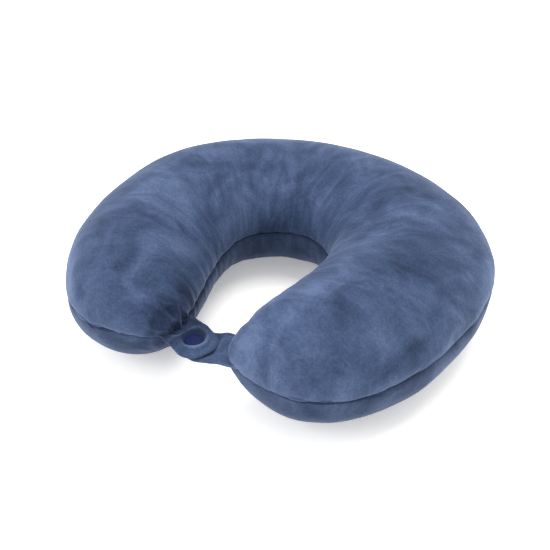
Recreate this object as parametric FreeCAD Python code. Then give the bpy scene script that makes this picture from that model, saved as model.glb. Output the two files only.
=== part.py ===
import FreeCAD, Part
import math
import os

# U-shaped neck pillow lying on its underside: a foam core in a removable velour cover of two
# panels, two fastening tabs with a four-piece snap, and a zip in the outer back seam.
# Millimetres. +Z is up, the gap between the arms opens towards -Y, and the origin is at the
# middle of the resting face.

os.makedirs("parts", exist_ok=True)

# ---- plan outline of the pillow, at the seam ----
overall_width = 300.0
overall_depth = 270.0
side_y = 9.0               # the widest place across the arms
front_x = 68.0             # the front-most place of each arm
tip_gap = 39.0             # between the two arm tips
tip_y = -112.0
neck_width = 73.0
neck_side_y = -13.0        # the widest place of the neck hole
neck_back_y = 22.0

# ---- section of the pillow ----
seam_height = 43.0         # the perimeter seam above the resting face
top_rise = 47.0            # crown above the seam
flat_sink = 1.5            # how far the underside is pressed flat
top_full_half = 60.0       # a section this wide each way has its full crown
bottom_full_half = 53.5
top_fade = 1.5             # how soon the crown falls off in narrower sections
bottom_fade = 1.1
top_shoulder = (1.8, 2.1)  # the two powers of each half section's rounded curve
bottom_shoulder = (2.0, 2.25)
rib_count = 18             # sections from the middle of the back to each tip
rib_crowding = 1.35        # above 1, sections crowd towards the tip
tip_share = 0.988          # the last section is this share of the way to the tip
loft_degree = 5
rib_points = 16            # points across each half section
outline_steps = 60         # steps in each of the outline's five stretches

# ---- cover and core ----
cover_thickness = 2.0
core_clearance = 0.3       # between the cover's inner face and the foam

# ---- fastening tabs ----
tab_width = 29.0
tab_thickness = 3.2        # two plies
left_end_flat = 5.0        # straight part of each tab's rounded end
right_end_flat = 1.0
tab_standoff = 4.5         # from the arm's tip out to the tab's fold line
snap_from_left = 12.63     # from each fold line's middle to the snap
snap_from_right = 19.61
left_beyond_snap = 15.0    # from the snap to the tab's end
right_beyond_snap = 7.2
tab_gap = 0.4              # between the upper tab and the lower one
ramp_start = 0.8           # each tab steps over or under the other between these
ramp_end = 3.0
root_depth = 13.0          # how far the sewn end reaches back from the fold line
fold_clearance = 1.0       # lets a tab turn square to its root

# ---- four-piece snap ----
snap_web = 0.9             # fabric pinched between the two halves
snap_cap_radius = 6.2
snap_cap_flange = 0.6
snap_cap_dome = 0.5
snap_disc_radius = 5.4     # socket and stud
snap_recess_clearance = 0.3
dimple_radius = 8.6        # the plush sinks round the cap
nub_radius = 2.5
nub_clearance = 0.4
nub_top = 0.5              # above the seam's height
stud_flange_top = -0.8
stud_flange = 0.8
socket_face = -0.6
socket_roof = 0.6
nub_end_gap = 0.2
post_radius = 1.1
post_clearance = 0.1

# ---- zip in the outer back seam ----
zip_half_length = 74.0     # measured straight across from the middle
lip_gap = 1.6              # between the folded edges of the two panels
tape_clearance = 1.6       # between the cover's inner face and the tape
tape_thickness = 0.5
tape_inner = 0.9           # from the seam's plane to the tape's near edge
tape_outer = 9.0
coil_inner = 0.5
coil_outer = 1.8
coil_thickness = 1.2
stop_length = 2.0
stop_gap = 0.4             # from the coil's end to its stop
slider_length = 9.0
slider_plate = 0.8
slider_clearance = 0.5     # between the cover's inner face and the slider's outer plate
slider_inner_gap = 0.4     # between the coil and the slider's inner plate
slider_width = 7.6
slider_flange = 0.8
slider_flange_gap = 0.4
slider_post = 0.6
slider_parking = 3.0       # free zip between the parked slider and the stop
bridge_half = 3.4
bridge_leg = 0.9
bridge_rod_radius = 0.5
bridge_reach = 1.6         # rod's centre outside the cover
pull_clearance = 0.1
pull_eye_radius = 1.2
pull_eye_half = 2.2
pull_thickness = 1.0
pull_width = 5.6
pull_length = 20.0
pull_hole_radius = 1.4
pull_foot_radius = 2.4
relief_margin = 1.0        # free space left for the zip inside the foam

# ---- worked out from the values above ----
half_width = overall_width / 2
half_depth = overall_depth / 2
half_gap = tip_gap / 2
neck_half = neck_width / 2
half_thickness = tab_thickness / 2
left_corner = (tab_width - left_end_flat) / 2
right_corner = (tab_width - right_end_flat) / 2
tape_depth = cover_thickness + tape_clearance
slider_outer_depth = cover_thickness + slider_clearance
tab_offset = (tab_gap + tab_thickness) / 2
full_height = seam_height + top_rise
big = 2 * (overall_width + overall_depth + full_height)
tiny = 0.01

Z = FreeCAD.Vector(0, 0, 1)


def at(x, y, z=0.0):
    return FreeCAD.Vector(x, y, z)


def half_outline():
    """The right half's seam outline: outside from the back to the tip, then tip to neck back."""
    turns = [0.5 * math.pi * i / outline_steps for i in range(outline_steps + 1)]
    outer = []
    for turn in turns:
        outer.append(at(half_width * math.sin(turn), side_y + (half_depth - side_y) * math.cos(turn)))
    for turn in turns[1:]:
        x = front_x + (half_width - front_x) * math.cos(turn)
        outer.append(at(x, side_y - (half_depth + side_y) * math.sin(turn)))
    for turn in turns[1:]:
        x = front_x - (front_x - half_gap) * math.sin(turn)
        outer.append(at(x, tip_y - (half_depth + tip_y) * math.cos(turn)))
    inner = [outer[-1]]
    for i in range(1, outline_steps + 1):
        share = i / outline_steps
        ease = share * share * (3 - 2 * share)
        x = half_gap + (neck_half - half_gap) * ease
        inner.append(at(x, tip_y + (neck_side_y - tip_y) * share))
    for turn in turns[1:]:
        y = neck_side_y + (neck_back_y - neck_side_y) * math.sin(turn)
        inner.append(at(neck_half * math.cos(turn), y))
    return outer, inner


def inset_outline(inset):
    """The same outline moved into the pillow by a distance, square to itself everywhere."""
    outer, inner = half_outline()
    loop = outer + inner[1:]
    moved = []
    for i, point in enumerate(loop):
        ahead = loop[min(i + 1, len(loop) - 1)] - loop[max(i - 1, 0)]
        if i in (0, len(loop) - 1):
            ahead.y = 0
        ahead.normalize()
        moved.append(at(point.x + inset * ahead.y, point.y - inset * ahead.x))
    tip = len(outer) - 1
    return moved[:tip + 1], moved[tip:]


def along(points, share):
    """The point that lies a share of the way along a line of points."""
    lengths = [points[i].distanceToPoint(points[i + 1]) for i in range(len(points) - 1)]
    left = share * sum(lengths)
    for i, length in enumerate(lengths):
        if left <= length:
            return points[i] + (points[i + 1] - points[i]) * (left / length)
        left -= length
    return points[-1]


def fullness(half, full_half, power):
    """How much of its full height a section of this half width has, from 0 to 1."""
    return 1 - (1 - min(half / full_half, 1.0)) ** power


def section(outer, inner, inset):
    """A closed section between an outer and an inner seam point: a crown and an underside."""
    middle = (outer + inner) / 2
    reach = (outer - inner) / 2
    half = reach.Length + inset
    crown = top_rise * fullness(half, top_full_half, top_fade) - inset
    belly = (seam_height + flat_sink) * fullness(half, bottom_full_half, bottom_fade) - inset
    edges = []
    for rise, powers, sign in ((crown, top_shoulder, 1), (-belly, bottom_shoulder, -1)):
        points = []
        for i in range(rib_points + 1):
            across = sign * math.cos(math.pi * i / rib_points)
            height = max(0.0, 1 - abs(across) ** powers[0]) ** (1 / powers[1])
            points.append(middle + reach * across + Z * (seam_height + rise * height))
        curve = Part.BSplineCurve()
        curve.interpolate(points)
        edges.append(curve.toShape())
    return Part.Wire(edges)


def pillow(inset):
    """The whole pillow's form, smaller all round by the inset, flat where it rests."""
    outer, inner = inset_outline(inset)
    right = []
    for i in range(rib_count + 1):
        share = tip_share * (1 - (1 - i / rib_count) ** rib_crowding)
        right.append((along(outer, share), along(inner, 1 - share)))
    left = [(at(-a.x, a.y), at(-b.x, b.y)) for a, b in right[:0:-1]]
    ribs = [section(a, b, inset) for a, b in left + right]
    form = Part.makeLoft(ribs, True, False, False, loft_degree)
    if form.Volume < 0:
        form.reverse()
    floor = Part.makeBox(big, big, big, at(-big / 2, -big / 2, inset - big))
    return form.cut(floor)


def side_of_seam(shape, upper):
    """The part of a shape above or below the seam's plane."""
    base = seam_height if upper else seam_height - big
    return shape.common(Part.makeBox(big, big, big, at(-big / 2, -big / 2, base)))


def export(name, shape):
    """Write one named piece and say how large it is."""
    shape = shape.removeSplitter()
    solids = shape.Solids
    result = solids[0] if len(solids) == 1 else Part.makeCompound(solids)
    result.exportStep("parts/" + name + ".step")
    print(name, len(solids), "solid", round(result.Volume, 1), "mm3", result.isValid())


# ---- tabs: built pointing along +X from the fold line, then turned and placed ----
fold_x = half_gap - tab_standoff
# The two folds and the snap are a triangle with known sides, and each tab points at the snap.
snap_along = fold_x + (snap_from_left ** 2 - snap_from_right ** 2) / (4 * fold_x)
snap_forward = math.sqrt(snap_from_left ** 2 - snap_along ** 2)
left_way = at(snap_along, -snap_forward) / snap_from_left
right_way = at(snap_along - 2 * fold_x, -snap_forward) / snap_from_right
snap_at = at(snap_along - fold_x, tip_y - snap_forward)
print("snap centre", snap_at, "left fold axis", at(left_way.y, -left_way.x))
print("right fold axis", at(-right_way.y, right_way.x))
print("tab folds at x", fold_x, "y", tip_y, "z", seam_height)


def place(shape, fold, way):
    """Turn a piece built along +X to point the given way from a fold line's middle."""
    placed = shape.copy()
    placed.rotate(at(0, 0), Z, math.degrees(math.atan2(way.y, way.x)))
    placed.translate(fold + at(0, 0, seam_height))
    return placed


def tab_ply(length, corner, side, outer_ply):
    """One ply of a tab. Side is 1 for the upper tab and -1 for the lower one."""
    if outer_ply:
        low, high = 0.0, half_thickness
    else:
        low, high = -half_thickness, 0.0
    shift = side * tab_offset
    start = Part.LineSegment(at(0, 0, high), at(ramp_start, 0, high))
    outline = [at(ramp_start, 0, high), at(ramp_end, 0, high + shift), at(length, 0, high + shift)]
    outline += [at(length, 0, low + shift), at(ramp_end, 0, low + shift), at(ramp_start, 0, low)]
    outline.append(at(0, 0, low))
    edges = [start.toShape()]
    edges += [Part.LineSegment(a, b).toShape() for a, b in zip(outline[:-1], outline[1:])]
    middle = half_thickness * math.sqrt(0.5)
    bulge = at(-middle, 0, middle if outer_ply else -middle)
    back = at(-half_thickness, 0, 0)
    if outer_ply:
        edges.append(Part.LineSegment(at(0, 0, 0), back).toShape())
        edges.append(Part.Arc(back, bulge, at(0, 0, high)).toShape())
    else:
        edges.append(Part.Arc(at(0, 0, low), bulge, back).toShape())
        edges.append(Part.LineSegment(back, at(0, 0, 0)).toShape())
    profile = Part.Face(Part.Wire(edges))
    profile.translate(at(0, -tab_width / 2))
    ply = profile.extrude(at(0, tab_width))
    reach = 2 * tab_thickness
    plan = Part.makeBox(length + reach, tab_width, 2 * reach, at(-reach, -tab_width / 2, -reach))
    corners = [edge for edge in plan.Edges
               if edge.BoundBox.XMin > length - tiny and edge.BoundBox.YLength < tiny]
    return ply.common(plan.makeFillet(corner, corners))


def root_slab():
    """The flat sewn end of a tab, from inside the seam out to the fold line."""
    corner = at(-root_depth, -tab_width / 2, -half_thickness)
    return Part.makeBox(root_depth, tab_width, tab_thickness, corner)


def fold_room():
    """The round space that a tab's fold turns in."""
    return Part.makeCylinder(half_thickness + fold_clearance, tab_width, at(0, -tab_width / 2), at(0, 1))


def tab_root(fold, way):
    """The end of a tab that is sewn into the seam, hollowed to clear the fold."""
    return place(root_slab().cut(fold_room()), fold, way).cut(inner_form)


def disc(radius, low, high):
    """An upright disc at the snap, between two heights measured from the seam."""
    base = at(snap_at.x, snap_at.y, seam_height + low)
    return Part.makeCylinder(radius, high - low, base, Z)


# Heights of the snap's parts, measured from the seam's plane.
socket_top = nub_top + nub_end_gap + socket_roof
upper_web_top = socket_top + snap_web
stud_bottom = stud_flange_top - stud_flange
lower_web_bottom = stud_bottom - snap_web
tab_top = tab_offset + half_thickness
hole_radius = post_radius + post_clearance
cap_recess = snap_cap_radius + snap_recess_clearance
disc_recess = snap_disc_radius + snap_recess_clearance


def snap_cap(web_face, outwards):
    """A domed cap whose flange lies on the web and whose post goes through it."""
    flange_end = web_face + outwards * snap_cap_flange
    flange = disc(snap_cap_radius, min(web_face, flange_end), max(web_face, flange_end))
    sphere_radius = (snap_cap_radius ** 2 + snap_cap_dome ** 2) / (2 * snap_cap_dome)
    centre_height = flange_end + outwards * (snap_cap_dome - sphere_radius)
    centre = at(snap_at.x, snap_at.y, seam_height + centre_height)
    dome_end = flange_end + outwards * snap_cap_dome
    slab = disc(snap_cap_radius, min(flange_end, dome_end), max(flange_end, dome_end))
    dome = slab.common(Part.makeSphere(sphere_radius, centre))
    post_end = web_face - outwards * (snap_web + socket_roof)
    post = disc(post_radius, min(web_face, post_end), max(web_face, post_end))
    return flange.fuse([dome, post])


# ---- pillow body ----
outer_form = pillow(0.0)
inner_form = pillow(cover_thickness)
core_form = pillow(cover_thickness + core_clearance)
cover = outer_form.cut(inner_form)

left_fold = at(-fold_x, tip_y)
right_fold = at(fold_x, tip_y)
left_root = tab_root(left_fold, left_way)
right_root = tab_root(right_fold, right_way)

# ---- zip: the arc that lies along the outer back seam ----
ellipse_drop = (half_depth - side_y) * (1 - math.sqrt(1 - (zip_half_length / half_width) ** 2))
zip_radius = (zip_half_length ** 2 + ellipse_drop ** 2) / (2 * ellipse_drop)
zip_centre = at(0, half_depth - zip_radius)
zip_angle = math.degrees(math.asin(zip_half_length / zip_radius))
degrees_per_mm = math.degrees(1 / zip_radius)
slider_turn = zip_angle - (slider_parking + slider_length / 2) * degrees_per_mm
print("zip arc radius", round(zip_radius, 3), "centre y", round(zip_centre.y, 3))
print("slider parked at", round(slider_turn, 3), "degrees each way")


def band(depth_out, depth_in, low, high, first, last):
    """A strip that follows the back seam, between two depths, two heights and two turns to +X."""
    base = zip_centre + at(0, 0, seam_height + low)
    ring = Part.makeCylinder(zip_radius - depth_out, high - low, base, Z, last - first)
    ring = ring.cut(Part.makeCylinder(zip_radius - depth_in, high - low, base, Z))
    ring.rotate(zip_centre, Z, 90 - last)
    return ring


def mirrored(low, high, upper):
    """The two heights as they are, or turned over below the seam's plane."""
    return (low, high) if upper else (-high, -low)


tape_back = tape_depth + tape_thickness
coil_back = tape_back + coil_thickness
slider_back = coil_back + slider_inner_gap + slider_plate
coil_angle = zip_angle - (stop_length + stop_gap) * degrees_per_mm
room_angle = zip_angle + relief_margin * degrees_per_mm

slot = band(-cover_thickness, slider_outer_depth, -lip_gap / 2, lip_gap / 2, -zip_angle, zip_angle)
tape_room = band(0, tape_back + relief_margin, -tape_outer - relief_margin, tape_outer + relief_margin,
                 -room_angle, room_angle)
slider_room = band(0, slider_back + relief_margin, -slider_width / 2 - relief_margin,
                   slider_width / 2 + relief_margin, -room_angle, room_angle)

export("foam_core", core_form.cut(tape_room.fuse(slider_room)))
for fold, way in ((left_fold, left_way), (right_fold, right_way)):
    cover = cover.cut(place(root_slab().fuse(fold_room()), fold, way))
export("cover_top_panel", side_of_seam(cover, True).cut(slot))
export("cover_bottom_panel", side_of_seam(cover, False).cut(slot))
export("left_tab_root", left_root)
export("right_tab_root", right_root)

# ---- the two tabs, each of two plies, with the snap's recesses ----
upper_recess = disc(cap_recess, upper_web_top, full_height)
cone_base = at(snap_at.x, snap_at.y, seam_height + upper_web_top)
dimple = Part.makeCone(cap_recess, dimple_radius, tab_top - upper_web_top, cone_base, Z)
upper_cuts = upper_recess.fuse([dimple, disc(disc_recess, -tab_thickness, socket_top)])
upper_cuts = upper_cuts.fuse(disc(hole_radius, 0, upper_web_top))
lower_recess = disc(cap_recess, -seam_height, lower_web_bottom)
lower_cuts = disc(disc_recess, stud_bottom, tab_thickness).fuse(lower_recess)
lower_cuts = lower_cuts.fuse(disc(hole_radius, lower_web_bottom, 0))
left_length = snap_from_left + left_beyond_snap
right_length = snap_from_right + right_beyond_snap
for name, length, corner, side, fold, way, cuts in (
        ("left_tab", left_length, left_corner, 1, left_fold, left_way, upper_cuts),
        ("right_tab", right_length, right_corner, -1, right_fold, right_way, lower_cuts)):
    for ply, outer_ply in (("_upper_ply", True), ("_lower_ply", False)):
        export(name + ply, place(tab_ply(length, corner, side, outer_ply), fold, way).cut(cuts))

# ---- the snap: cap and socket on the left tab, stud and cap on the right one ----
export("left_snap_cap", snap_cap(upper_web_top, 1))
socket = disc(snap_disc_radius, socket_face, socket_top)
socket = socket.cut(disc(nub_radius + nub_clearance, socket_face, nub_top + nub_end_gap))
export("left_snap_socket", socket.cut(disc(hole_radius, 0, socket_top)))
stud = disc(snap_disc_radius, stud_bottom, stud_flange_top).fuse(disc(nub_radius, stud_flange_top, nub_top))
export("right_snap_stud", stud.cut(disc(hole_radius, stud_bottom, nub_top)))
export("right_snap_cap", snap_cap(lower_web_bottom, -1))

# ---- zip: tapes, coils and stops ----
for name, upper in (("upper", True), ("lower", False)):
    tape_low, tape_high = mirrored(tape_inner, tape_outer, upper)
    tape = band(tape_depth, tape_back, tape_low, tape_high, -zip_angle, zip_angle)
    export("zip_" + name + "_tape", tape)
    coil_low, coil_high = mirrored(coil_inner, coil_outer, upper)
    coil = band(tape_back, coil_back, coil_low, coil_high, -coil_angle, coil_angle)
    export("zip_" + name + "_coil", coil)
stop_turn = zip_angle - stop_length * degrees_per_mm
top_stops = []
for upper in (True, False):
    stop_low, stop_high = mirrored(coil_inner, coil_outer, upper)
    top_stops.append(band(tape_back, coil_back, stop_low, stop_high, stop_turn, zip_angle))
export("zip_top_stops", Part.makeCompound(top_stops))
bottom_stop = band(tape_back, coil_back, -coil_outer, coil_outer, -zip_angle, -stop_turn)
export("zip_bottom_stop", bottom_stop)


# ---- slider and pull: built at the middle of the back, then turned to the parked place ----
def back_box(half_length, low_depth, high_depth, half_height, middle_x=0.0, middle_z=0.0):
    """A box at the middle of the back, between two depths below the cover's outer face."""
    corner = at(middle_x - half_length, half_depth - high_depth, seam_height + middle_z - half_height)
    return Part.makeBox(2 * half_length, high_depth - low_depth, 2 * half_height, corner)


half_slider = slider_length / 2
inner_plate_depth = coil_back + slider_inner_gap
flange_middle = coil_outer + slider_flange_gap + slider_flange / 2
outer_plate_back = slider_outer_depth + slider_plate
slider = back_box(half_slider, slider_outer_depth, outer_plate_back, slider_width / 2)
plate_corners = [edge for edge in slider.Edges if edge.BoundBox.YLength > slider_plate / 2]
slider = slider.makeFillet(slider_plate, plate_corners)
inner_half = flange_middle + slider_flange / 2
pieces = [back_box(half_slider, inner_plate_depth, slider_back, inner_half)]
for side in (-1, 1):
    pieces.append(back_box(half_slider, tape_back + slider_flange_gap / 2, inner_plate_depth,
                           slider_flange / 2, 0, side * flange_middle))
    leg_x = side * (bridge_half - bridge_leg / 2)
    pieces.append(back_box(bridge_leg / 2, -bridge_reach, slider_outer_depth, bridge_rod_radius, leg_x))
post_x = half_slider - 2 * slider_post
pieces.append(back_box(slider_post, outer_plate_back, inner_plate_depth, slider_post / 2, post_x))
rod_at = at(-bridge_half, half_depth + bridge_reach, seam_height)
pieces.append(Part.makeCylinder(bridge_rod_radius, 2 * bridge_half, rod_at, at(1, 0)))
slider = slider.fuse(pieces)
slider.rotate(zip_centre, Z, -slider_turn)
export("zip_slider", slider)

eye_at = at(-pull_eye_half, half_depth + bridge_reach, seam_height)
pull = Part.makeCylinder(pull_eye_radius, 2 * pull_eye_half, eye_at, at(1, 0))
neck = back_box(pull_eye_half, -bridge_reach - pull_thickness / 2, -bridge_reach + pull_thickness / 2,
                pull_eye_radius, 0, -pull_eye_radius)
leaf_half = pull_length / 2 - pull_eye_radius
leaf = back_box(pull_width / 2, -bridge_reach - pull_thickness / 2, -bridge_reach + pull_thickness / 2,
                leaf_half, 0, -2 * pull_eye_radius - leaf_half)
foot_corners = [edge for edge in leaf.Edges if edge.BoundBox.YLength > pull_thickness / 2
                and edge.BoundBox.ZMax < seam_height - pull_length / 2]
leaf = leaf.makeFillet(pull_foot_radius, foot_corners)
pull = pull.fuse([neck, leaf])
eye_radius = bridge_rod_radius + pull_clearance
pull = pull.cut(Part.makeCylinder(eye_radius, 2 * pull_eye_half, eye_at, at(1, 0)))
hole_z = seam_height - pull_length + 2 * pull_eye_radius + pull_hole_radius / 2
hole_at = at(0, half_depth, hole_z)
pull = pull.cut(Part.makeCylinder(pull_hole_radius, 2 * (bridge_reach + pull_thickness), hole_at, at(0, 1)))
pull.rotate(zip_centre, Z, -slider_turn)
export("zip_pull", pull)
turned = FreeCAD.Rotation(Z, -slider_turn)
rod_middle = zip_centre + turned.multVec(at(0, zip_radius + bridge_reach))
print("pull hinge at", rod_middle, "axis", turned.multVec(at(1, 0)))
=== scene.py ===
# %% [markdown]
# A travel neck pillow: a U of moulded foam in a plush velour cover, lying on a pale table with
# its two front tabs snapped together. The engineering model is the fixed frame: it says where
# every piece is and what moves. This lesson gives each piece its soft shape and its finish.

# %% Load the frame
import math

import bmesh
import bpy
import numpy as np
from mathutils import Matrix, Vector, noise


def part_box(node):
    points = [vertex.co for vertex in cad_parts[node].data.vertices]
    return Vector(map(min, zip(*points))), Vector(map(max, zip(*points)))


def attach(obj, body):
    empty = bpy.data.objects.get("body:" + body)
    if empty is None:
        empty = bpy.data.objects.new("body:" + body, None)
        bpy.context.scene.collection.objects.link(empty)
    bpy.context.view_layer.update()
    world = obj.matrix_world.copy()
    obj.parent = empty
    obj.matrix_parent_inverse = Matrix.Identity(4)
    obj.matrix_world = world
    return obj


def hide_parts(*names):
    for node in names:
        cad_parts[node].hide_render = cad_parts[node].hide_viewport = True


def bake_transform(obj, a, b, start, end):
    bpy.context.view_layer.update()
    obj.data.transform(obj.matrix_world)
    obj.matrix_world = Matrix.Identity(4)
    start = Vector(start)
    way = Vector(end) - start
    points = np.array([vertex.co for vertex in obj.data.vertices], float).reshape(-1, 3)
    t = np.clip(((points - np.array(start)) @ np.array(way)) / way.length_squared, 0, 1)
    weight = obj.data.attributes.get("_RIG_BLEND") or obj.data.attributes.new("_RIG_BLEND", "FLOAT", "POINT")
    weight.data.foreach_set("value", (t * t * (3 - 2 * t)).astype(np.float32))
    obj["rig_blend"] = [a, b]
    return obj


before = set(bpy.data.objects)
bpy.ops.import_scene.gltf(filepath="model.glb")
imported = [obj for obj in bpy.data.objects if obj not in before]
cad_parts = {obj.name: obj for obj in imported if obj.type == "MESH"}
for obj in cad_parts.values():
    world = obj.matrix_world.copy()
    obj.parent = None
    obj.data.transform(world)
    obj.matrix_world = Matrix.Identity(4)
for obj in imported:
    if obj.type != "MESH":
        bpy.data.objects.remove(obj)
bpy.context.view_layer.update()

MM = 0.001               # Blender works in metres; sizes below are written in millimetres

# %% [markdown]
# Colours are written as sRGB hex codes, the way a dye card gives them, and shaders want linear
# light, so one function turns them. One more small function adds a shader node, sets it and
# links it, which keeps each recipe down to a few readable lines.

# %% Colour and shader helpers
def colour(code):
    """A linear RGBA colour from an sRGB hex code such as #5a6d90."""
    shares = [int(code[i:i + 2], 16) / 255 for i in (1, 3, 5)]
    linear = [c / 12.92 if c <= 0.04045 else ((c + 0.055) / 1.055) ** 2.4 for c in shares]
    return (*linear, 1.0)


def add_node(tree, kind, inputs=None, stops=None, **settings):
    """Add a node. Inputs take a value or another node's output; stops fill a colour ramp."""
    made = tree.nodes.new("ShaderNode" + kind)
    for name, value in settings.items():
        setattr(made, name, value)
    for key, value in (inputs or {}).items():
        if isinstance(value, bpy.types.NodeSocket):
            tree.links.new(value, made.inputs[key])
        else:
            made.inputs[key].default_value = value
    for i, (place, tint) in enumerate(stops or []):
        points = made.color_ramp.elements
        point = points[i] if i < 2 else points.new(place)
        point.position = place
        point.color = tint
    return made


def new_material(name):
    """An empty node material with its output, and the node tree to build in."""
    material = bpy.data.materials.new(name)
    material.use_nodes = True
    tree = material.node_tree
    tree.nodes.clear()
    return material, tree


def per_mm(size):
    """The noise scale at which one grain is this many millimetres, in metre coordinates."""
    return 1 / (size * MM)


# %% [markdown]
# The camera stands where a person sitting at the table would look down from, a little to the
# pillow's right. It is described by its turn round the object, its height angle and its distance,
# because those three are easier to reason about than a position.

# %% Camera
look_at = Vector((5.1, -25.3, 40.0)) * MM
azimuth = math.radians(27.8)
elevation = math.radians(35.8)
distance = 549.6 * MM
towards = Vector((math.sin(azimuth) * math.cos(elevation), -math.cos(azimuth) * math.cos(elevation),
                  math.sin(elevation)))
camera_data = bpy.data.cameras.new("camera")
camera_data.lens = 50.4
camera_data.sensor_width = 36.0
camera = bpy.data.objects.new("camera", camera_data)
camera.location = look_at + towards * distance
camera.rotation_mode = "QUATERNION"
camera.rotation_quaternion = (-towards).to_track_quat("-Z", "Y")
bpy.context.scene.collection.objects.link(camera)
bpy.context.scene.camera = camera
print("camera", [round(v, 3) for v in camera.location])

# %% [markdown]
# A glowing sheet of white card under a bright, even sky gives the soft light of a product table.
# One wide lamp overhead, a little behind, lights the crown, and a weaker one beside the viewer
# fills the near faces from the left. The card stays white even down in the neck hole, and the
# shadows stay small and close to the pillow.

# %% Table and light
def finish_card():
    """Translucent white card on a light table: it glows a little, and has a faint fibre grain."""
    material, tree = new_material("glowing_white_card")
    where = add_node(tree, "TexCoord").outputs["Object"]
    grain = add_node(tree, "TexNoise", {"Vector": where, "Scale": per_mm(6.0), "Detail": 4.0})
    tint = add_node(tree, "ValToRGB", {"Fac": grain.outputs["Fac"]},
                    [(0.3, colour("#fbfaf8")), (0.7, colour("#fdfdfc"))])
    skin = add_node(tree, "BsdfPrincipled", {"Base Color": tint.outputs["Color"], "Roughness": 0.9,
                                             "Specular IOR Level": 0.2, "Emission Color": colour("#ffffff"),
                                             "Emission Strength": 0.3})
    add_node(tree, "OutputMaterial", {"Surface": skin.outputs["BSDF"]})
    return material


def add_lamp(name, place, size, power, tint):
    """A square area lamp that faces the pillow."""
    data = bpy.data.lights.new(name, "AREA")
    data.size = size
    data.energy = power
    data.color = colour(tint)[:3]
    lamp = bpy.data.objects.new(name, data)
    lamp.location = place
    lamp.rotation_euler = (look_at - Vector(place)).to_track_quat("-Z", "Y").to_euler()
    bpy.context.scene.collection.objects.link(lamp)


table_mesh = bmesh.new()
bmesh.ops.create_grid(table_mesh, x_segments=1, y_segments=1, size=4.0)
table_data = bpy.data.meshes.new("table_card")
table_mesh.to_mesh(table_data)
table_mesh.free()
table = bpy.data.objects.new("table_card", table_data)
table.location.z = -0.5 * MM
bpy.context.scene.collection.objects.link(table)
table.data.materials.append(finish_card())

world = bpy.data.worlds.new("sky")
bpy.context.scene.world = world
world.use_nodes = True
world.node_tree.nodes["Background"].inputs["Color"].default_value = colour("#fffefc")
world.node_tree.nodes["Background"].inputs["Strength"].default_value = 1.05
add_lamp("overhead_lamp", (0.05, 0.25, 1.3), 1.0, 15.0, "#fffdf8")
add_lamp("viewer_lamp", (-0.75, -0.95, 0.75), 0.8, 8.5, "#ffffff")
bpy.context.scene.view_settings.view_transform = "Standard"
print("table and light ready")

# %% [markdown]
# The cover is two velour panels sewn edge to edge round the pillow's waist. Seen from above, the
# seam is a few drawn curves: quarter ellipses for the back, the sides and the rounded arm ends,
# and one easy S from each tip to the neck hole. Stations along the U pair a point outside with
# a point inside, and a rounded section spans each pair.

# %% The pillow's plan
cover_low, cover_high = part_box("cover_top_panel")
snap_low, snap_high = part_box("left_snap_cap")
snap = (snap_low + snap_high) / 2
half_width = cover_high.x
half_depth = cover_high.y
seam_z = cover_low.z
crown_rise = cover_high.z - cover_low.z
side_y = 9 * MM               # the U is widest here
front_x = 68 * MM             # an arm comes furthest forward here
half_gap = 19.5 * MM          # half the distance between the two tips of the seam
tip_y = -112 * MM
neck_half = 36.5 * MM         # half the neck hole's greatest width
neck_side_y = -13 * MM        # and where it is that wide
neck_back_y = 22 * MM


def seam_plan(steps=60):
    """The right half's seam from the back to the tip, and from the neck's back to the tip."""
    turn = np.linspace(0, math.pi / 2, steps + 1)
    sine, cosine = np.sin(turn), np.cos(turn)
    back = np.c_[half_width * sine, side_y + (half_depth - side_y) * cosine]
    side = np.c_[front_x + (half_width - front_x) * cosine, side_y - (half_depth + side_y) * sine]
    front = np.c_[front_x - (front_x - half_gap) * sine, tip_y - (half_depth + tip_y) * cosine]
    hole = np.c_[neck_half * sine, neck_side_y + (neck_back_y - neck_side_y) * cosine]
    share = np.linspace(1, 0, steps + 1)
    ease = share * share * (3 - 2 * share)
    cheek = np.c_[half_gap + (neck_half - half_gap) * ease, tip_y + (neck_side_y - tip_y) * share]
    return np.vstack([back, side[1:], front[1:]]), np.vstack([hole, cheek[1:]])


def walk(line, shares):
    """Points at these shares of the way along a line of points."""
    steps = np.r_[0, np.cumsum(np.linalg.norm(np.diff(line, axis=0), axis=1))]
    return np.c_[[np.interp(shares * steps[-1], steps, line[:, axis]) for axis in (0, 1)]].T


tip_crowding = 1.35           # above 1, the stations stand closer together towards the tips


def station(along):
    """The share of the way from back to tip at places that run from -1 to 1, tip to tip."""
    return 1 - (1 - np.abs(along)) ** tip_crowding


outside, inside = seam_plan()
seam_length = 2 * (np.linalg.norm(np.diff(outside, axis=0), axis=1).sum()
                   + np.linalg.norm(np.diff(inside, axis=0), axis=1).sum())
print("seam runs", round(seam_length / MM), "mm round the pillow")

# %% [markdown]
# The quickest clean mesh for a tube is a flat grid wrapped round it: one side of the grid runs
# from tip to tip, the other once round the section. Moving the grid's corners keeps neat rows
# of quads, and the first row meets the last, so merging doubles closes the tube along the
# outer seam and at both tips. Two attributes remember where each corner sits on the cloth, for
# the seam work and for the nap's brush marks.

# %% Wrap a grid into the pillow's form
rows_along = 208
rows_around = 92
seam_crowding = 0.8           # rows of corners crowd towards the seam, where the cloth folds most
full_crown_half = 60 * MM     # sections this wide have their full crown
full_belly_half = 53.5 * MM
belly_sink = 1.5 * MM         # the underside is pressed flat by this much
crown_power = 1.5             # how soon a widening section reaches its full height
belly_power = 1.1
crown_curve = (1.8, 2.1)      # powers of the section's curves: 2 and 2 would be a plain ellipse
belly_curve = (2.0, 2.25)
merge_distance = 0.02 * MM


def fullness(half, full_half, power):
    """How much of its full height a section of this half width has."""
    return 1 - (1 - np.minimum(half / full_half, 1)) ** power


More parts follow.
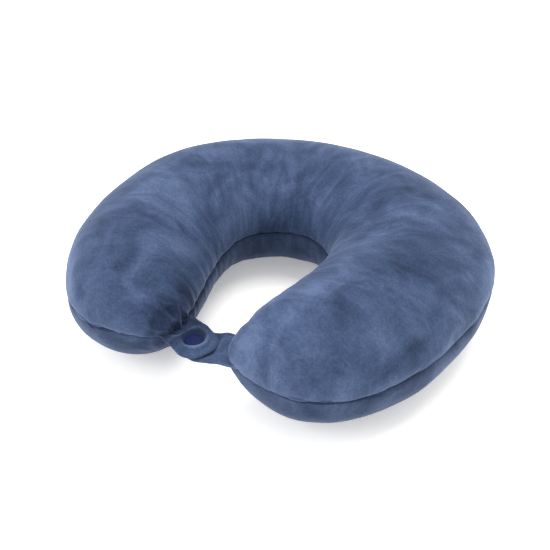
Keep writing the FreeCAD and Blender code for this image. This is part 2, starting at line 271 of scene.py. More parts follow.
def arm_half_width(along):
    """Half the distance between the outer and the inner seam at these places along the U."""
    share = station(along)
    return np.linalg.norm(walk(outside, share) - walk(inside, share), axis=1) / 2


def pillow_points(u, w, inset):
    """Where grid places go: u from -1 to 1, tip to tip, and w from 0 to 1 round the section."""
    share = station(u)
    outer, inner = walk(outside, share), walk(inside, share)
    middle, reach = (outer + inner) / 2, (outer - inner) / 2
    half = np.linalg.norm(reach, axis=1)
    slimmer = np.maximum(half - inset, 0) / np.maximum(half, 1e-9)
    crown = crown_rise * fullness(half, full_crown_half, crown_power) - inset * slimmer
    belly = (seam_z + belly_sink) * fullness(half, full_belly_half, belly_power) - inset * slimmer
    across = np.cos(2 * math.pi * w)
    upper = (1 - np.abs(across) ** crown_curve[0]) ** (1 / crown_curve[1])
    lower = (1 - np.abs(across) ** belly_curve[0]) ** (1 / belly_curve[1])
    rise = np.where(w <= 0.5, crown * upper, -belly * lower)
    plan = middle + reach * (across * slimmer)[:, None]
    return np.c_[plan[:, 0] * np.sign(u + 1e-12), plan[:, 1], seam_z + rise], across


def wrap_pillow(inset):
    """The closed pillow as a mesh object, upper faces in slot 0 and lower faces in slot 1."""
    form = bmesh.new()
    bmesh.ops.create_grid(form, x_segments=rows_along, y_segments=rows_around, size=1.0)
    flat = np.array([v.co for v in form.verts])
    u, w = flat[:, 0], (flat[:, 1] + 1) / 2
    w = w - seam_crowding * np.sin(4 * math.pi * w) / (4 * math.pi)
    placed, across = pillow_points(u, w, inset)
    across_layer = form.verts.layers.float.new("across")
    along_layer = form.verts.layers.float.new("along")
    for face in form.faces:
        face.material_index = 0 if face.calc_center_median().y < 0 else 1
        face.smooth = True
    for i, corner in enumerate(form.verts):
        corner[across_layer] = across[i]
        corner[along_layer] = u[i]
        corner.co = placed[i]
    bmesh.ops.remove_doubles(form, verts=form.verts, dist=merge_distance)
    bmesh.ops.recalc_face_normals(form, faces=form.faces)
    data = bpy.data.meshes.new("pillow_form")
    form.to_mesh(data)
    form.free()
    made = bpy.data.objects.new("pillow_form", data)
    bpy.context.scene.collection.objects.link(made)
    return made


foam_room = 6.5 * MM          # the foam lies this far inside the cover's outer face
foam = wrap_pillow(foam_room)
swell_room = 2.5 * MM         # the cloth starts this far inside and is blown up to size
pillow = wrap_pillow(swell_room)
print("pillow form", len(pillow.data.vertices), "corners")

# %% [markdown]
# Foam pushes a cover out from inside, everywhere at once, and the sewn seam holds it back. A
# short cloth simulation with inner pressure does the same: the seam's corners are pinned, the
# panels swell between them, and the rows beside the seam round over it. The move is capped, so
# that the panels stop where the foam would stop them.

# %% Swell the cover over its foam
def points_of(data):
    """A mesh's corners as one array."""
    flat = np.empty(len(data.vertices) * 3)
    data.vertices.foreach_get("co", flat)
    return flat.reshape(-1, 3)


def floats_of(data, name):
    """One float attribute of a mesh as an array."""
    values = np.empty(len(data.vertices))
    data.attributes[name].data.foreach_get("value", values)
    return values


def swell(piece, pinned, least, cap, pressure=4.0, frames=20):
    """Blow a closed cloth up, holding some corners still, and keep every move between two sizes."""
    group = piece.vertex_groups.new(name="sewn")
    group.add([int(i) for i in np.flatnonzero(pinned)], 1.0, "REPLACE")
    start = points_of(piece.data)
    cloth = piece.modifiers.new("cloth", "CLOTH")
    cloth.settings.quality = 5
    cloth.settings.mass = 0.3
    cloth.settings.tension_stiffness = 12
    cloth.settings.compression_stiffness = 12
    cloth.settings.shear_stiffness = 5
    cloth.settings.bending_stiffness = 0.4
    cloth.settings.shrink_min = -0.02
    cloth.settings.use_pressure = True
    cloth.settings.uniform_pressure_force = pressure
    cloth.settings.vertex_group_mass = "sewn"
    cloth.settings.effector_weights.gravity = 0
    cloth.collision_settings.use_collision = False
    for step in range(1, frames + 1):
        bpy.context.scene.frame_set(step)
    graph = bpy.context.evaluated_depsgraph_get()
    swollen = points_of(piece.evaluated_get(graph).data)
    piece.modifiers.remove(cloth)
    piece.vertex_groups.remove(group)
    move = swollen - start
    normals = np.array([n.vector for n in piece.data.vertex_normals])
    outward = (move * normals).sum(axis=1)
    slide = move - outward[:, None] * normals
    size = np.linalg.norm(slide, axis=1)
    print("cloth moved out", np.percentile(outward / MM, (1, 50, 99)).round(2), "mm and slid",
          np.percentile(size / MM, (50, 99)).round(2), "mm")
    slide *= np.minimum(1, 0.5 * cap / np.maximum(size, 1e-9))[:, None]
    outward = np.where(pinned, 0, outward.clip(least, cap))
    swollen = start + slide + outward[:, None] * normals
    piece.data.vertices.foreach_set("co", swollen.ravel())
    bpy.context.scene.frame_set(1)


seam_gap = np.abs(points_of(pillow.data)[:, 2] - seam_z)
foam_push = 0.7 * swell_room * (1 - np.exp(-seam_gap / (4 * MM)))
swell(pillow, np.abs(floats_of(pillow.data, "across")) > 0.999999, foam_push, swell_room)

# %% [markdown]
# A plush cover is never quite smooth. Broad, shallow hollows come from handling. The sewn seam
# draws the cloth in and puckers it, small folds run outwards from the neck hole where the cloth
# has to bend two ways, and at the arm tips the tabs gather it. Each is a height along the cloth's
# own normal, so they simply add.

# %% Handling marks, puckers and folds
def ripple(points, size, seed):
    """Smooth noise from -1 to 1 with bumps about this many millimetres across."""
    shift = Vector((seed, 2.3 * seed, -1.7 * seed))
    return np.array([noise.noise(Vector(p) / (size * MM) + shift) for p in points])


def fold_lines(points, size, seed):
    """Sharp-crested creases, from 0 in the flats to 1 on a crest."""
    return (1 - np.abs(ripple(points, size, seed)) * 2.2).clip(0, 1) ** 2


def near(points, spot, radius):
    """1 at a spot given in millimetres, falling smoothly to 0 about a radius away."""
    gap = np.linalg.norm(points - np.array(spot) * MM, axis=1) / (radius * MM)
    return np.exp(-gap ** 2)


def smooth(low, high, values):
    """0 below low, 1 above high and an easy curve between."""
    share = ((values - low) / (high - low)).clip(0, 1)
    return share * share * (3 - 2 * share)


cover = points_of(pillow.data)
normals = np.array([n.vector for n in pillow.data.vertex_normals])
across = floats_of(pillow.data, "across")
along = floats_of(pillow.data, "along")
height = cover[:, 2] - seam_z
from_seam = np.abs(height)
travel = np.sign(along) * station(along) * seam_length / 4
zip_half = 74 * MM
back_y = 60 * MM              # only the back of the pillow lies behind this
back_face = (across > 0.2) & (cover[:, 1] > back_y)
zip_share = np.where(back_face, smooth(-5 * MM, 1 * MM, zip_half - np.abs(cover[:, 0])), 0)

broad_dent = 0.9 * MM
small_dent = 0.45 * MM
held_flat = zip_share * np.exp(-from_seam / (25 * MM))    # the zip's tape keeps dents away
rise = (1 - held_flat) * (broad_dent * ripple(cover, 42, 1) + small_dent * ripple(cover, 17, 2))

pucker_height = 0.8 * MM
seam_draw = 0.9 * MM          # the thread draws the cloth in this far
zip_swell = 2.1 * MM          # and over the zip the two folded edges stand out this far
pucker = ripple(np.c_[travel, 0.3 * cover[:, 2], np.sign(across) * 90 * MM], 9, 3)
rise += (1 - zip_share) * pucker_height * pucker * np.exp(-from_seam / (9 * MM))
rise -= (1 - zip_share) * seam_draw * np.exp(-from_seam / (2.2 * MM))
rise += zip_share * zip_swell * np.exp(-from_seam / (5 * MM))

neck_fold = 1.1 * MM
left_crumple = 4.4 * MM
right_crumple = 1.2 * MM
radial = ripple(np.c_[travel, 0.18 * height, np.zeros(len(cover))], 13, 4)
hole_side = smooth(0.1, -0.75, across) * np.where(height > 0, 1, 0.5)
rise += neck_fold * radial * hole_side * (1 - np.exp(-from_seam / (5 * MM)))
left_tip = near(cover, (-24, -116, 54), 21)
mound = near(cover, (-19, -103, 55), 13) * smooth(1 * MM, 6 * MM, height)
right_tip = near(cover, (24, -122, 46), 14)
rise += left_crumple * left_tip * (fold_lines(cover * (1, 1, 0.5), 9, 5) - 0.4)
rise += right_crumple * right_tip * (fold_lines(cover * (1, 1, 0.45), 12, 6) - 0.3)
print("surface moves between", round(rise.min() / MM, 2), "and", round(rise.max() / MM, 2), "mm")

cover += normals * rise[:, None]
mound_push = (2.6 * MM, -1.2 * MM, -0.5 * MM)    # the left tab gathers the arm's tip this way
cover += np.outer(mound, mound_push)
cover[:, 2] = np.maximum(cover[:, 2], 0)         # the table stops the cloth
pillow.data.vertices.foreach_set("co", cover.ravel())

# %% [markdown]
# The seam divides the form into its two panels. Each keeps its half of the faces. As on a real
# cover, its edge is turned in along the seam as a narrow allowance, so that nothing inside can be
# seen between the stitches. Then it gets the cloth's thickness and a smooth subdivision. Along the
# zip there is no allowance: the two folded edges stand a little apart and show the coil. The nap
# attribute holds each place's distance along the pillow and round it, in metres, so that brush
# marks can follow the cloth.

# %% Cut the form into two panels
velour_thickness = 1.6 * MM
lip_stand = 1.3 * MM          # each folded edge of the zip stands this far from the middle
fold_softness = 4 * MM        # and that fades over about this height
seam_allowance = 4.5 * MM     # how far the panels' edges are turned in along the seam
widest_share = 0.55           # and no further than this share of a narrow arm tip's half width


def remember(data, name, kind, values):
    """Store one value per corner on a mesh, for shaders and for later cells."""
    layer = data.attributes.new(name, kind, "POINT")
    layer.data.foreach_set("vector" if kind == "FLOAT_VECTOR" else "value", np.ravel(values))


girth = 230 * MM              # the mean length once round the section
turn_round = np.arccos(across.clip(-1, 1)) / (2 * math.pi) * girth
remember(pillow.data, "nap", "FLOAT_VECTOR", np.c_[travel, turn_round, np.sign(height) * 0.5])
remember(pillow.data, "zip_share", "FLOAT", zip_share)
turned_in = np.minimum(seam_allowance, widest_share * arm_half_width(along))
outwards = walk(outside, station(along)) - walk(inside, station(along))
outwards /= np.linalg.norm(outwards, axis=1).clip(0.01 * MM)[:, None]
inwards = np.c_[outwards[:, 0] * np.sign(along), outwards[:, 1], np.zeros(len(along))]
inwards *= (-np.sign(across) * turned_in)[:, None]
remember(pillow.data, "turned_in", "FLOAT_VECTOR", inwards)


def soft_piece(name, form, material, *nodes):
    """A velour piece made from its form, which hides the engineering pieces it stands in for."""
    bmesh.ops.recalc_face_normals(form, faces=form.faces)
    data = bpy.data.meshes.new(name)
    form.to_mesh(data)
    form.free()
    data.materials.append(material)
    piece = bpy.data.objects.new(name, data)
    bpy.context.scene.collection.objects.link(piece)
    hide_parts(*nodes)
    return piece


def cut_panel(name, half, material, node):
    """One panel of the cover, from the faces in one half of the whole form."""
    form = bmesh.new()
    form.from_mesh(pillow.data)
    others = [face for face in form.faces if face.material_index != half]
    bmesh.ops.delete(form, geom=others, context="FACES")
    zip_layer = form.verts.layers.float["zip_share"]
    turn_layer = form.verts.layers.float_vector["turned_in"]
    room = 1.5 * velour_thickness
    sewn = [edge for edge in form.edges if edge.is_boundary
            and all(corner[zip_layer] < 0.01 for corner in edge.verts)
            and all(corner[turn_layer].length > room for corner in edge.verts)]
    allowance = bmesh.ops.extrude_edge_only(form, edges=sewn)["geom"]
    for corner in [item for item in allowance if isinstance(item, bmesh.types.BMVert)]:
        corner.co += corner[turn_layer]
    opening = lip_stand if half == 0 else -lip_stand
    for face in form.faces:
        face.material_index = 0
        face.smooth = True
    for corner in form.verts:
        fade = math.exp(-abs(corner.co.z - seam_z) / fold_softness)
        corner.co.z += opening * fade * corner[zip_layer]
    panel = soft_piece(name, form, material, node)
    thicken = panel.modifiers.new("cloth_thickness", "SOLIDIFY")
    thicken.thickness = velour_thickness
    thicken.offset = -1
    refine = panel.modifiers.new("smooth", "SUBSURF")
    refine.levels = refine.render_levels = 1
    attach(panel, "root")
    return panel


# %% [markdown]
# Velour is a dense pile, about a millimetre long. It looks dark where you see into the pile and
# pale where the fibres lean away, so a hand leaves cloudy marks in it. Three sizes of noise give
# this: palm-sized clouds, brush marks that run round the pillow's section, and the pile's own
# grain. Painted light and shade are added to that sum: a painted sheen within 30 mm of the outer
# seam, a painted highlight on the right arm's tip, painted shade on the left arm's tip beside the
# tabs, and painted shade in the snap's well with a painted highlight, a pale crescent, on its plush
# rim. Sheen adds the pale rim that fibres show at a glancing angle. The lower panel gets a darker
# copy of this colour as painted shade, because it faces down, away from the light.

# %% Velour
painted_highlight_spot = (48 * MM, -118 * MM, 62 * MM)     # painted highlight: the right arm's tip is painted paler where the front-left light falls
painted_shade_spot = (-14 * MM, -107 * MM, 50 * MM)    # painted shade: the left arm's tip is painted darker, low down beside the tabs
rim_highlight_spot = tuple(snap + Vector((7.2, -5.3, 0.0)) * MM)    # painted highlight: a pale crescent where light catches the snap's plush rim


def velour(name, shade):
    """Denim-blue plush velour. Shade multiplies its colour as painted light and shade: above 1 is paler,
    below 1 is darker.
    """
    material, tree = new_material(name)
    cloth = add_node(tree, "Attribute", attribute_name="nap").outputs["Vector"]
    where = add_node(tree, "TexCoord").outputs["Object"]
    clouds = add_node(tree, "TexNoise", {"Vector": where, "Scale": per_mm(38.0), "Detail": 3.0,
                                         "Roughness": 0.55, "Distortion": 0.8})
    lengthened = add_node(tree, "VectorMath", {0: cloth, 1: (1.0, 0.5, 1.0)}, operation="MULTIPLY")
    brushed = add_node(tree, "TexNoise", {"Vector": lengthened.outputs[0], "Scale": per_mm(14.0),
                                          "Detail": 4.0, "Roughness": 0.62, "Distortion": 1.1})
    pile = add_node(tree, "TexNoise", {"Vector": where, "Scale": per_mm(1.6), "Detail": 3.0,
                                       "Roughness": 0.7})
    marked = add_node(tree, "Math", {0: brushed.outputs["Fac"], 1: 0.6, 2: clouds.outputs["Fac"]},
                      operation="MULTIPLY_ADD")
    fine = add_node(tree, "Math", {0: pile.outputs["Fac"], 1: 0.45, 2: marked.outputs[0]},
                    operation="MULTIPLY_ADD")
    from_outer_seam = add_node(tree, "SeparateXYZ", {"Vector": cloth}).outputs["Y"]
    # painted sheen: the pile is painted paler within 30 mm of the outer seam, where the cloth turns away at
    # a glancing angle
    painted_seam_sheen = add_node(tree, "MapRange", {0: from_outer_seam, 1: 0.0, 2: 30 * MM, 3: 0.17, 4: 0.0},
                   interpolation_type="SMOOTHSTEP")
    edged = add_node(tree, "Math", {0: fine.outputs[0], 1: painted_seam_sheen.outputs[0]}, operation="ADD")
    # painted highlight on the right arm's tip, where the light from the front left falls
    to_painted_highlight = add_node(tree, "VectorMath", {0: where, 1: painted_highlight_spot}, operation="DISTANCE")
    painted_highlight = add_node(tree, "MapRange", {0: to_painted_highlight.outputs["Value"], 1: 8 * MM, 2: 48 * MM,
                                          3: 0.2, 4: 0.0}, interpolation_type="SMOOTHSTEP")
    paler = add_node(tree, "Math", {0: edged.outputs[0], 1: painted_highlight.outputs[0]}, operation="ADD")
    # painted shade on the left arm's tip, where it lies low and hidden beside the tabs
    to_painted_shade = add_node(tree, "VectorMath", {0: where, 1: painted_shade_spot}, operation="DISTANCE")
    painted_shade = add_node(tree, "MapRange", {0: to_painted_shade.outputs["Value"], 1: 9 * MM, 2: 40 * MM,
                                          3: 0.26, 4: 0.0}, interpolation_type="SMOOTHSTEP")
    darker = add_node(tree, "Math", {0: paler.outputs[0], 1: painted_shade.outputs[0]}, operation="SUBTRACT")
    to_snap = add_node(tree, "VectorMath", {0: where, 1: tuple(snap)}, operation="DISTANCE")
    # painted shade: the velour is painted darker in the dimpled well round the snap
    painted_well_shade = add_node(tree, "MapRange", {0: to_snap.outputs["Value"], 1: 7.2 * MM, 2: 9.4 * MM,
                                       3: 0.3, 4: 0.0})
    sunken = add_node(tree, "Math", {0: darker.outputs[0], 1: painted_well_shade.outputs[0]}, operation="SUBTRACT")
    # painted highlight: a pale crescent on the lower right of the snap's rim, where the plush catches the
    # light
    past_rim = add_node(tree, "Math", {0: to_snap.outputs["Value"], 1: 9.3 * MM}, operation="SUBTRACT")
    off_rim = add_node(tree, "Math", {0: past_rim.outputs[0]}, operation="ABSOLUTE")
    on_rim = add_node(tree, "MapRange", {0: off_rim.outputs[0], 1: 0.4 * MM, 2: 2.0 * MM, 3: 1.0, 4: 0.0},
                      interpolation_type="SMOOTHSTEP")
    to_rim_highlight = add_node(tree, "VectorMath", {0: where, 1: rim_highlight_spot}, operation="DISTANCE")
    painted_rim_highlight = add_node(tree, "MapRange", {0: to_rim_highlight.outputs["Value"], 1: 4 * MM, 2: 13 * MM,
                                           3: 0.45, 4: 0.0}, interpolation_type="SMOOTHSTEP")
    ringed = add_node(tree, "Math", {0: on_rim.outputs[0], 1: painted_rim_highlight.outputs[0],
                                     2: sunken.outputs[0]}, operation="MULTIPLY_ADD")
    level = add_node(tree, "MapRange", {0: ringed.outputs[0], 1: 0.72, 2: 1.34})
    tint = add_node(tree, "ValToRGB", {"Fac": level.outputs[0]},
                    [(0.0, colour("#1b263c")), (1.0, colour("#4c5a78")), (0.42, colour("#2e3c57")),
                     (0.66, colour("#3a4865"))])
    # painted light and shade: the whole colour is scaled paler or darker for each copy
    shaded = add_node(tree, "VectorMath", {0: tint.outputs["Color"], "Scale": shade}, operation="SCALE")
    raised = add_node(tree, "Bump", {"Height": pile.outputs["Fac"], "Strength": 0.55, "Distance": 0.5 * MM})
    dented = add_node(tree, "Bump", {"Height": brushed.outputs["Fac"], "Strength": 0.35,
                                     "Distance": 1.2 * MM, "Normal": raised.outputs["Normal"]})
    skin = add_node(tree, "BsdfPrincipled", {
        "Base Color": shaded.outputs["Vector"], "Roughness": 0.92, "Specular IOR Level": 0.15,
        "Sheen Weight": 0.6, "Sheen Roughness": 0.35, "Sheen Tint": colour("#8f9ebd"),
        "Normal": dented.outputs["Normal"]})
    add_node(tree, "OutputMaterial", {"Surface": skin.outputs["BSDF"]})
    return material


# %% [markdown]
# The upper panel and the tabs get a paler copy of the velour, painted light, and the lower panel
# a darker copy, painted shade, so they get two materials from one recipe. The whole form isn't
# needed once both panels have been cut from it.

# %% Cut and dress the two panels
# paler copy painted as light for the upper panel and tabs, darker copy painted as shade for the
# downward-facing lower panel
velour_material = velour("plush_velour", 1.12)
shaded_velour = velour("plush_velour_painted_shade", 0.78)
top_panel = cut_panel("velour_top_panel", 0, velour_material, "cover_top_panel")
bottom_panel = cut_panel("velour_bottom_panel", 1, shaded_velour, "cover_bottom_panel")
bpy.data.objects.remove(pillow)
for panel in (top_panel, bottom_panel):
    print(panel.name, len(panel.data.polygons), "faces")

# %% [markdown]
# Each tab is sewn from two layers and turned right side out, so it has a plump, rolled edge all
# round and no raw edge anywhere. Again a flat grid does the work: two copies of a rounded tongue
# shape, whose thickness falls to nothing at the outline along a quarter circle. The snap pinches
# both layers to a thin web, and the plush stands up round it as a soft rim.

# %% A tab's outline and its two faces
tab_half_width = 14.5 * MM
tab_half_thickness = 1.6 * MM
tab_rise = 1.8 * MM            # half of the two tabs' distance, middle to middle
fold_line_x = 15.0 * MM
tab_root_y = -112.0 * MM
cap_radius = (snap_high.x - snap_low.x) / 2
web_top = 45.2 * MM - seam_z   # the upper tab's pinched web, between its cap and its socket
web_middle = 44.3 * MM - seam_z
stud_seat = -1.6 * MM          # the lower tab's web, between its stud and its cap
web_foot = -2.45 * MM
rim_radius = 8.9 * MM          # the plush stands highest round the snap here
rim_size = 1.6 * MM            # and this is both its height and its softness
disc_radius = 5.6 * MM         # the socket's and the stud's discs press the web flat within this
edge_roll = 2.4 * MM           # the rolled edge reaches its full thickness this far in
plump_height = 0.9 * MM
ply_clear = 0.2 * MM           # the facing sides are flattened this far from the plane between


def edge_distance(x, y, length, corner):
    """How far inside the tab's rounded outline a place is."""
    out_x = x - (length - corner)
    out_y = np.abs(y) - (tab_half_width - corner)
    beyond = np.hypot(np.maximum(out_x, 0), np.maximum(out_y, 0))
    return corner - beyond - np.minimum(np.maximum(out_x, out_y), 0)


def tab_surfaces(x, y, length, corner, lift, gathers, seed):
    """Heights of a tab's upper and lower faces over the seam, before the snap pinches it."""
    inside_edge = edge_distance(x, y, length, corner).clip(0)
    roll = np.sqrt(1 - (1 - (inside_edge / edge_roll).clip(0, 1)) ** 2)
    plump = plump_height * smooth(0, 9 * MM, inside_edge)
    places = np.c_[x, y, np.full(len(x), seed * 0.05)]
    plump += 0.35 * MM * ripple(places, 9, seed)
    middle = lift * smooth(0, 7 * MM, x)
    near_root = np.exp(-(x.clip(0) / (11 * MM)) ** 2)
    middle = middle + gathers * MM * near_root * ripple(places * (0.3, 1, 1), 5.0, seed + 7)
    half = roll * (tab_half_thickness + plump * smooth(-2 * MM, 4 * MM, x))
    return middle, half, smooth(0, 1.2 * MM, inside_edge)


def pinch(x, y, snap_x, upper_tab, middle, half, within):
    """The two faces' heights once the snap has pinched the tab. Within is 0 at the outline."""
    away = np.hypot(x - snap_x, y)
    rim = rim_size * np.exp(-((away - rim_radius) / rim_size) ** 2)
    high, low = middle + half, middle - half
    cap_blend = smooth(cap_radius + 0.1 * MM, cap_radius + 2.0 * MM, away)
    disc_blend = smooth(disc_radius, disc_radius + 1.0 * MM, away)
    if upper_tab:
        high = (web_top - 0.05 * MM) * (1 - cap_blend) + (high + rim) * cap_blend
        low = web_middle * (1 - disc_blend) + np.maximum(low, ply_clear) * disc_blend
    else:
        covered = 1 - smooth(14 * MM, 18 * MM, away)    # where the other tab lies on this one
        high = high + (np.minimum(high, -ply_clear) - high) * covered
        high = stud_seat * (1 - disc_blend) + high * disc_blend
        low = web_foot * (1 - cap_blend) + (low - rim) * cap_blend
    closed_high = (middle + half) * (1 - within) + high * within
    closed_low = (middle - half) * (1 - within) + low * within
    return closed_high, closed_low


# %% [markdown]
# The grid's columns run from inside the arm's seam to the rounded end, and crowd towards the
# outline, where the cloth turns tightest. The bend belongs at the sewn line: there the tab blends
# from riding the pillow to riding its own hinge, over 6 mm, so the cloth bends and doesn't tear.

# %% Make the two tabs
tab_buried = 11 * MM           # this much of a tab lies inside the arm's seam
bend_half = 3 * MM
nap_start = 50 * MM            # clear of the paler stretch that runs beside the outer seam


def make_tab(name, side, length, corner, gathers, body, *nodes):
    """One tab, from inside the arm's seam to its rounded end. Side is -1 for the left one."""
    fold = Vector((side * fold_line_x, tab_root_y, seam_z))
    way = Vector((snap.x, snap.y, seam_z)) - fold
    snap_x = way.length
    way.normalize()
    sideways = Vector((-way.y, way.x, 0))
    form = bmesh.new()
    bmesh.ops.create_grid(form, x_segments=54, y_segments=38, size=1.0)
    flat = np.array([v.co for v in form.verts])
    reach = -tab_buried + (length + tab_buried) * np.sin((flat[:, 0] + 1) * math.pi / 4)
    past = (reach - (length - corner)).clip(0, corner)
    half_here = tab_half_width - corner + np.sqrt(corner ** 2 - past ** 2)
    across_tab = half_here * np.sin(flat[:, 1] * math.pi / 2)
    upper_tab = side < 0
    lift = tab_rise if upper_tab else -tab_rise
    middle, half, within = tab_surfaces(reach, across_tab, length, corner, lift, gathers, 20 + side)
    at_rim = (np.abs(flat[:, 1]) > 1 - 1e-6) | (np.abs(flat[:, 0]) > 1 - 1e-6)
    half[at_rim] = 0
    within[at_rim] = 0
    high, low = pinch(reach, across_tab, snap_x, upper_tab, middle, half, within)
    copy = bmesh.ops.duplicate(form, geom=form.verts[:] + form.edges[:] + form.faces[:])["geom"]
    under = [item for item in copy if isinstance(item, bmesh.types.BMFace)]
    bmesh.ops.reverse_faces(form, faces=under)
    form.verts.ensure_lookup_table()
    nap = form.verts.layers.float_vector.new("nap")
    count = len(flat)
    for i, corner_point in enumerate(form.verts):
        j = i % count
        z = high[j] if i < count else low[j]
        corner_point[nap] = (across_tab[j], reach[j] + nap_start, side)
        corner_point.co = fold + way * reach[j] + sideways * across_tab[j] + Vector((0, 0, z))
    bmesh.ops.remove_doubles(form, verts=form.verts, dist=0.03 * MM)
    open_edges = sum(edge.is_boundary for edge in form.edges)
    for face in form.faces:
        face.smooth = True
    tab = soft_piece(name, form, velour_material, *nodes)
    refine = tab.modifiers.new("smooth", "SUBSURF")
    refine.levels = refine.render_levels = 1
    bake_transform(tab, "root", body, fold - way * bend_half, fold + way * bend_half)
    print(name, "snap", round(snap_x / MM, 2), "mm from its fold,", len(tab.data.polygons), "faces,",
          open_edges, "open edges")
    return tab


left_tab = make_tab("left_velour_tab", -1, 27.6 * MM, 12 * MM, 2.5, "left_tab",
                    "left_tab_root", "left_tab_upper_ply", "left_tab_lower_ply")
right_tab = make_tab("right_velour_tab", 1, 26.8 * MM, 13.8 * MM, 5.0, "right_tab",
                     "right_tab_root", "right_tab_upper_ply", "right_tab_lower_ply")

# %% [markdown]
# The snap is moulded acetal, dyed a deeper navy than the cloth. Its cap is a shallow dome with a
# satin skin, so its highlight is weak. The zip is a nylon coil on woven tape with a lacquered metal
# slider. Each finish is one pattern, which drives the colour, the gloss or the bumps. The tape's
# ribs and the coil's turns are too fine to show from here, so both are drawn coarser than they
# are. A wave texture has 20 / (2 pi) bands to a unit, or 10 / (2 pi) on the diagonal.

# %% Finishes of the snap and the zip
def finish_plastic():
    """Injection-moulded acetal: navy and satin, with faint flow marks in its gloss."""
    material, tree = new_material("moulded_acetal")
    where = add_node(tree, "TexCoord").outputs["Object"]
    flow = add_node(tree, "TexNoise", {"Vector": where, "Scale": per_mm(3.0), "Detail": 2.0})
    gloss = add_node(tree, "MapRange", {0: flow.outputs["Fac"], 3: 0.30, 4: 0.45})
    skin = add_node(tree, "BsdfPrincipled", {"Base Color": colour("#121a42"), "Roughness": gloss.outputs[0],
                                             "IOR": 1.46, "Specular IOR Level": 0.08})
    add_node(tree, "OutputMaterial", {"Surface": skin.outputs["BSDF"]})
    return material


def finish_tape():
    """Woven polyester zip tape: a dull navy twill, its 0.8 mm ribs drawn about 10 mm apart."""
    material, tree = new_material("polyester_tape")
    where = add_node(tree, "TexCoord").outputs["Object"]
    twill = add_node(tree, "TexWave", {"Vector": where, "Scale": per_mm(16.0), "Distortion": 0.6},
                     bands_direction="DIAGONAL")
    tint = add_node(tree, "ValToRGB", {"Fac": twill.outputs["Fac"]},
                    [(0.2, colour("#26344f")), (0.8, colour("#3b4d70"))])
    ribs = add_node(tree, "Bump", {"Height": twill.outputs["Fac"], "Strength": 0.5, "Distance": 0.1 * MM})
    skin = add_node(tree, "BsdfPrincipled", {"Base Color": tint.outputs["Color"], "Roughness": 0.85,
                                             "Normal": ribs.outputs["Normal"]})
    add_node(tree, "OutputMaterial", {"Surface": skin.outputs["BSDF"]})
    return material


def finish_coil():
    """Nylon coil: slightly translucent navy, its 1.4 mm turns drawn about 9 mm apart."""
    material, tree = new_material("nylon_coil")
    where = add_node(tree, "TexCoord").outputs["Object"]
    turns = add_node(tree, "TexWave", {"Vector": where, "Scale": per_mm(28.0)}, bands_direction="X")
    tint = add_node(tree, "ValToRGB", {"Fac": turns.outputs["Fac"]},
                    [(0.1, colour("#1b2740")), (0.9, colour("#43557a"))])
    ridge = add_node(tree, "Bump", {"Height": turns.outputs["Fac"], "Strength": 0.9, "Distance": 0.4 * MM})
    skin = add_node(tree, "BsdfPrincipled", {"Base Color": tint.outputs["Color"], "Roughness": 0.35,
                                             "Subsurface Weight": 0.1, "Normal": ridge.outputs["Normal"]})
    add_node(tree, "OutputMaterial", {"Surface": skin.outputs["BSDF"]})
    return material


def finish_metal():
    """Die-cast zinc under a thin dark lacquer, rubbed a little brighter in cloudy spots."""
    material, tree = new_material("lacquered_zinc")
    where = add_node(tree, "TexCoord").outputs["Object"]
    wear = add_node(tree, "TexNoise", {"Vector": where, "Scale": per_mm(2.0), "Detail": 4.0})
    tint = add_node(tree, "ValToRGB", {"Fac": wear.outputs["Fac"]},
                    [(0.35, colour("#3a4250")), (0.7, colour("#596273"))])
    gloss = add_node(tree, "MapRange", {0: wear.outputs["Fac"], 3: 0.22, 4: 0.42})
    skin = add_node(tree, "BsdfPrincipled", {"Base Color": tint.outputs["Color"], "Metallic": 0.9,
                                             "Roughness": gloss.outputs[0]})
    add_node(tree, "OutputMaterial", {"Surface": skin.outputs["BSDF"]})
    return material


# %% [markdown]
# The snap and the zip keep their engineering shape, because their fit matters more than their
# looks. They only get a finish, and a softened edge that catches light.

# %% Dress the hard pieces
def dress(node, material, edge=0.0):
    """Give an engineering piece its finish and, if asked, a small rounded edge in millimetres."""
    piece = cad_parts[node]
    piece.data.materials.clear()
    piece.data.materials.append(material)
    if edge:
        soften = piece.modifiers.new("soft_edges", "BEVEL")
        soften.width = edge * MM
        soften.segments = 2
        soften.limit_method = "ANGLE"


acetal, tape, coil, zinc = finish_plastic(), finish_tape(), finish_coil(), finish_metal()
for node in ("left_snap_cap", "left_snap_socket", "right_snap_stud", "right_snap_cap"):
    dress(node, acetal, 0.12)
for node in ("zip_upper_tape", "zip_lower_tape"):
    dress(node, tape)
for node in ("zip_upper_coil", "zip_lower_coil"):
    dress(node, coil)
for node in ("zip_top_stops", "zip_bottom_stop", "zip_slider", "zip_pull"):
    dress(node, zinc, 0.15)
print("snap and zip finished")

# %% [markdown]
# Under the cover lies one block of moulded foam. It is the pillow's own form again, a few
# millimetres smaller. A shallow groove along the seam makes room for the panels' turned-in edges,
# and a deeper trough behind the zip makes room for its tape and slider.

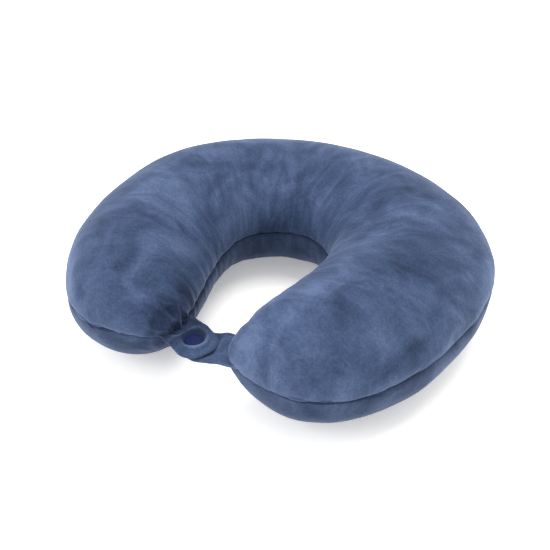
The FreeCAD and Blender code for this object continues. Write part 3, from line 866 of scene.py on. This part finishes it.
# %% The foam core
def finish_foam():
    """Moulded memory foam: cream, open-celled, with pores about 0.8 mm across."""
    material, tree = new_material("memory_foam")
    where = add_node(tree, "TexCoord").outputs["Object"]
    cells = add_node(tree, "TexVoronoi", {"Vector": where, "Scale": per_mm(0.8)})
    tint = add_node(tree, "ValToRGB", {"Fac": cells.outputs["Distance"]},
                    [(0.1, colour("#f2e7c4")), (0.8, colour("#d9c793"))])
    pores = add_node(tree, "Bump", {"Height": cells.outputs["Distance"], "Strength": 0.6,
                                    "Distance": 0.3 * MM}, invert=True)
    skin = add_node(tree, "BsdfPrincipled", {"Base Color": tint.outputs["Color"], "Roughness": 0.95,
                                             "Subsurface Weight": 0.15, "Normal": pores.outputs["Normal"]})
    add_node(tree, "OutputMaterial", {"Surface": skin.outputs["BSDF"]})
    return material


groove_depth = 3.2 * MM       # room for the panels' turned-in edges
groove_share = 0.4            # and no more than this share of the foam's half width
groove_half = 6 * MM
trough_depth = 4.5 * MM       # room for the zip
trough_half = 9 * MM
zip_centre = np.array((0, -40.15)) * MM    # the zip runs on an arc round this place
foam_foot = 2.2 * MM          # the foam's underside lies this far above the table

foam.name = "moulded_foam_core"
foam.data.name = "moulded_foam_core"
block = points_of(foam.data)
block_normals = np.array([n.vector for n in foam.data.vertex_normals])
foam_half = (arm_half_width(floats_of(foam.data, "along")) - foam_room).clip(0)
groove = np.minimum(groove_depth, groove_share * foam_half)
groove *= np.exp(-((block[:, 2] - seam_z) / groove_half) ** 2)
block -= block_normals * (1, 1, 0) * groove[:, None]
beside_zip = smooth(-4 * MM, 8 * MM, zip_half - np.abs(block[:, 0])) * (block[:, 1] > back_y)
trough = beside_zip * np.exp(-((block[:, 2] - seam_z) / trough_half) ** 2)
from_zip_centre = block[:, :2] - zip_centre
inward = from_zip_centre / np.linalg.norm(from_zip_centre, axis=1)[:, None]
outer_side = floats_of(foam.data, "across") > 0
block[:, :2] -= inward * (trough_depth * trough * outer_side)[:, None]
block[:, 2] = np.maximum(block[:, 2], foam_foot)
foam.data.vertices.foreach_set("co", block.ravel())
foam.data.materials.append(finish_foam())
for face in foam.data.polygons:
    face.material_index = 0
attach(foam, "root")
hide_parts("foam_core")
print("foam core", len(foam.data.polygons), "faces")
